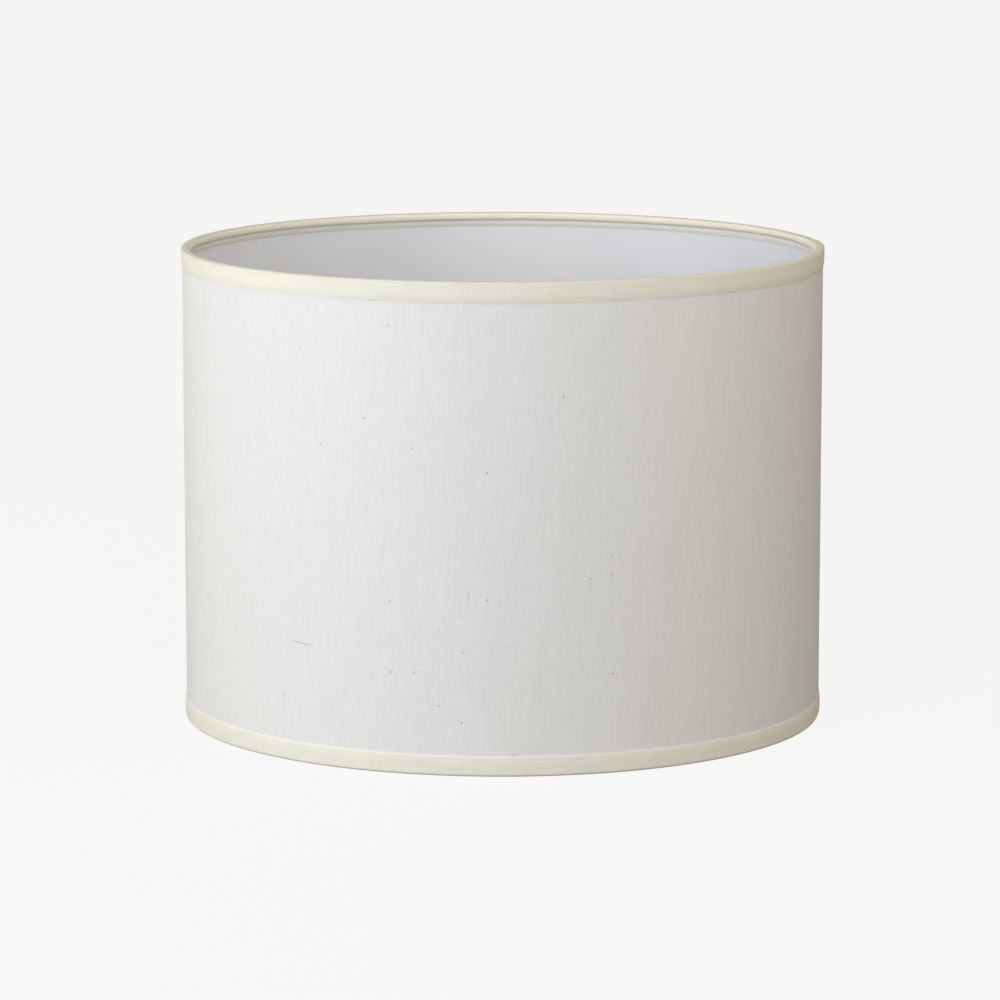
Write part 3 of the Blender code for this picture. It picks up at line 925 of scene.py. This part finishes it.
def floor():
    """A wide pale floor. The camera sees it evenly lit, with a faint shadow at the rim, and sees
    through it from below. To the object it is plain matt grey."""
    half = FLOOR_HALF_WIDTH
    low = -FLOOR_DROP
    data = bpy.data.meshes.new("floor")
    corners = [(-half, -half, low), (half, -half, low), (half, half, low), (-half, half, low)]
    data.from_pydata(corners, [], [(0, 1, 2, 3)])
    piece = bpy.data.objects.new("floor", data)
    bpy.context.scene.collection.objects.link(piece)
    made = bpy.data.materials.new("floor")
    made.use_nodes = True
    tree = made.node_tree
    output, seen = studio_nodes(tree, "ShaderNodeOutputMaterial")
    plain = tree.nodes.new("ShaderNodeBsdfDiffuse")
    plain.inputs["Color"].default_value = (*FLOOR_TONE, 1)
    lit = tree.nodes.new("ShaderNodeEmission")
    lit.inputs["Strength"].default_value = BACKDROP - FLOOR_DIMMER
    shaded = tree.nodes.new("ShaderNodeBsdfDiffuse")
    shaded.inputs["Color"].default_value = (*FLOOR_SHADOW_TONE, 1)
    both = tree.nodes.new("ShaderNodeAddShader")
    under = tree.nodes.new("ShaderNodeBsdfTransparent")
    side = tree.nodes.new("ShaderNodeNewGeometry")
    above = tree.nodes.new("ShaderNodeMixShader")
    choice = tree.nodes.new("ShaderNodeMixShader")
    tree.links.new(lit.outputs[0], both.inputs[0])
    tree.links.new(shaded.outputs[0], both.inputs[1])
    tree.links.new(side.outputs["Backfacing"], above.inputs[0])
    tree.links.new(both.outputs[0], above.inputs[1])
    tree.links.new(under.outputs[0], above.inputs[2])
    tree.links.new(seen, choice.inputs[0])
    tree.links.new(plain.outputs[0], choice.inputs[1])
    tree.links.new(above.outputs[0], choice.inputs[2])
    tree.links.new(choice.outputs[0], output.inputs[0])
    data.materials.append(made)


def room():
    """Light from all round, stronger from the front and weaker from above. The camera sees a
    plain backdrop instead."""
    world = bpy.data.worlds.new("room")
    bpy.context.scene.world = world
    world.use_nodes = True
    tree = world.node_tree
    output, seen = studio_nodes(tree, "ShaderNodeOutputWorld")
    coords = tree.nodes.new("ShaderNodeTexCoord")
    facing = tree.nodes.new("ShaderNodeVectorMath")
    facing.operation = "DOT_PRODUCT"
    facing.inputs[1].default_value = (math.sin(FRONT_ANGLE), -math.cos(FRONT_ANGLE), 0)
    rising = tree.nodes.new("ShaderNodeVectorMath")
    rising.operation = "DOT_PRODUCT"
    rising.inputs[1].default_value = (0, 0, 1)
    shade = tree.nodes.new("ShaderNodeVectorMath")
    shade.operation = "MULTIPLY_ADD"
    shade.inputs[1].default_value = ROOM_FRONT
    shade.inputs[2].default_value = ROOM_EVEN
    dimmer = tree.nodes.new("ShaderNodeVectorMath")
    dimmer.operation = "MULTIPLY_ADD"
    dimmer.inputs[1].default_value = ROOM_ABOVE
    light = tree.nodes.new("ShaderNodeBackground")
    backdrop = tree.nodes.new("ShaderNodeBackground")
    backdrop.inputs["Strength"].default_value = BACKDROP
    backdrop.inputs["Color"].default_value = (1, 1, 1, 1)
    choice = tree.nodes.new("ShaderNodeMixShader")
    tree.links.new(coords.outputs["Generated"], facing.inputs[0])
    tree.links.new(coords.outputs["Generated"], rising.inputs[0])
    tree.links.new(facing.outputs["Value"], shade.inputs[0])
    tree.links.new(rising.outputs["Value"], dimmer.inputs[0])
    tree.links.new(shade.outputs[0], dimmer.inputs[2])
    tree.links.new(dimmer.outputs[0], light.inputs["Color"])
    tree.links.new(seen, choice.inputs[0])
    tree.links.new(light.outputs[0], choice.inputs[1])
    tree.links.new(backdrop.outputs[0], choice.inputs[2])
    tree.links.new(choice.outputs[0], output.inputs[0])


def soft_light(name, place, size, light):
    """A square area light that faces the middle of the shade. light is its red, green and blue
    power in watts."""
    data = bpy.data.lights.new(name, "AREA")
    data.shape = "SQUARE"
    data.size = size
    data.energy = max(light)
    data.color = [value / max(light) for value in light]
    lamp = bpy.data.objects.new(name, data)
    lamp.location = place
    lamp.visible_camera = False
    away = Vector(place) - Vector((0, 0, HEIGHT / 2))
    lamp.rotation_euler = away.to_track_quat("Z", "Y").to_euler()
    bpy.context.scene.collection.objects.link(lamp)


def studio_lights():
    """A large soft key at the left, one high at the front right, and a fill at the front left."""
    key = Vector((
        math.sin(KEY_ANGLE) * math.cos(KEY_RISE),
        -math.cos(KEY_ANGLE) * math.cos(KEY_RISE),
        math.sin(KEY_RISE),
    ))
    soft_light("key", Vector((0, 0, HEIGHT / 2)) + key * KEY_DISTANCE, KEY_SIZE, KEY_LIGHT)
    soft_light("overhead", TOP_PLACE, TOP_SIZE, TOP_LIGHT)
    soft_light("fill", FILL_PLACE, FILL_SIZE, FILL_LIGHT)


def camera():
    """A long lens, looking along +Y and a little down."""
    data = bpy.data.cameras.new("camera")
    data.sensor_width = 36
    data.lens = CAMERA_LENS
    piece = bpy.data.objects.new("camera", data)
    piece.location = CAMERA_PLACE
    piece.rotation_euler = (math.pi / 2 - CAMERA_PITCH, 0, 0)
    bpy.context.scene.collection.objects.link(piece)
    bpy.context.scene.camera = piece


bpy.context.scene.view_settings.view_transform = "Standard"
camera()
room()
studio_lights()
floor()
make_panel()
make_trims(make_frame())
